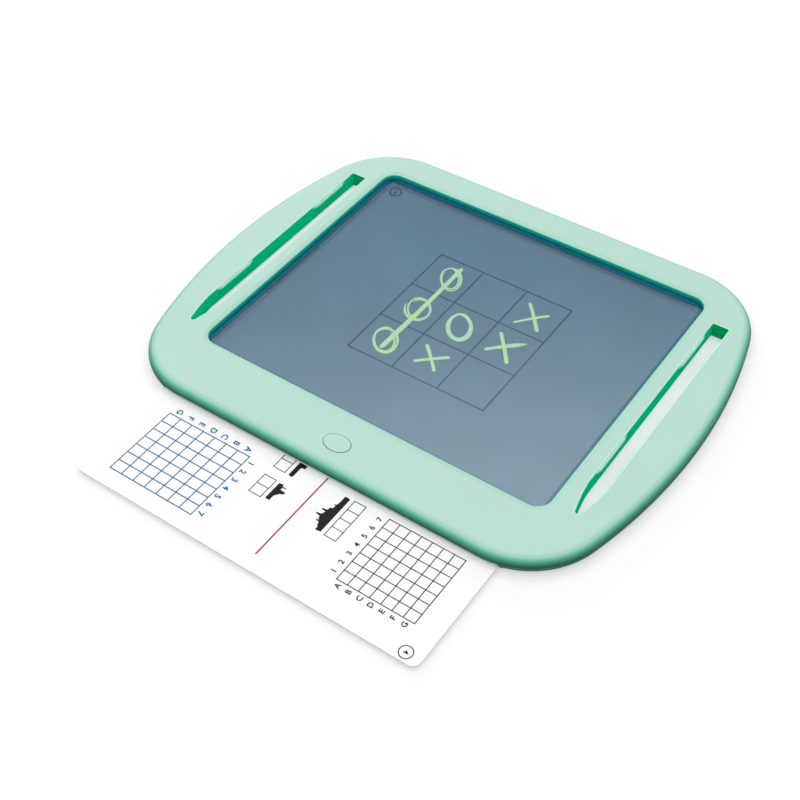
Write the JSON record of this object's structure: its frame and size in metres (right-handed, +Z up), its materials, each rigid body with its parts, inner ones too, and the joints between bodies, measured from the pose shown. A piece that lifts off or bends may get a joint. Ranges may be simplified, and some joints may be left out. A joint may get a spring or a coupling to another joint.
{
  "type": "erasable game tablet",
  "caption": "Flat, rounded erasable writing tablet with a see-through screen, game cards that slide in under it, a stylus slot on each side and an erase button.",
  "frame": {"origin": "centre of the flat underside of the case", "axes": "+X to the player's right, +Y away from the player, +Z up through the screen"},
  "size_m": [0.279, 0.2812, 0.0097],
  "materials": {
    "mint_case": "satin",
    "inner_frame": "satin",
    "clear_panel": "clear",
    "writing_film": "semi-gloss",
    "foam_gasket": "foam",
    "natural_plastic": "matte",
    "black_plastic": "matte",
    "circuit_board": "solder mask",
    "chip_parts": "matte",
    "flex_tail": "film",
    "steel": "plated",
    "contact_brass": "stamped",
    "rubber_feet": "matte",
    "game_card": "coated"
  },
  "bodies": {
    "tablet": {"front_housing": "mint_case", "rear_housing": "mint_case", "carrier_frame": "inner_frame", "backing_panel": "clear_panel", "writing_film": "writing_film", "screen_gasket": "foam_gasket", "tact_switch": "black_plastic", "circuit_board": "circuit_board", "driver_chip": "black_plastic", "board_parts": "chip_parts", "film_flex_tail": "flex_tail", "coin_cell": "steel", "contact_negative": "contact_brass", "contact_positive": "contact_brass", "battery_door": "mint_case", "battery_door_screw": "steel", "housing_screws": "steel", "rubber_feet": "rubber_feet"},
    "erase_button": {"erase_button": "mint_case", "switch_plunger": "natural_plastic"},
    "noughts_card": {"noughts_card": "game_card"},
    "fleet_card": {"fleet_card": "game_card"}
  },
  "joints": [
    {"name": "button_press", "type": "slide", "parent": "tablet", "child": "erase_button", "axis": [0, 0, 1], "range_m": [-0.0005, 0], "stiffness_N_per_m": 1500},
    {"name": "noughts_card_slide", "type": "slide", "parent": "tablet", "child": "noughts_card", "axis": [0, 1, 0], "range_m": [-0.198, 0]},
    {"name": "fleet_card_slide", "type": "slide", "parent": "tablet", "child": "fleet_card", "axis": [0, 1, 0], "range_m": [-0.1365, 0.0615]}
  ]
}
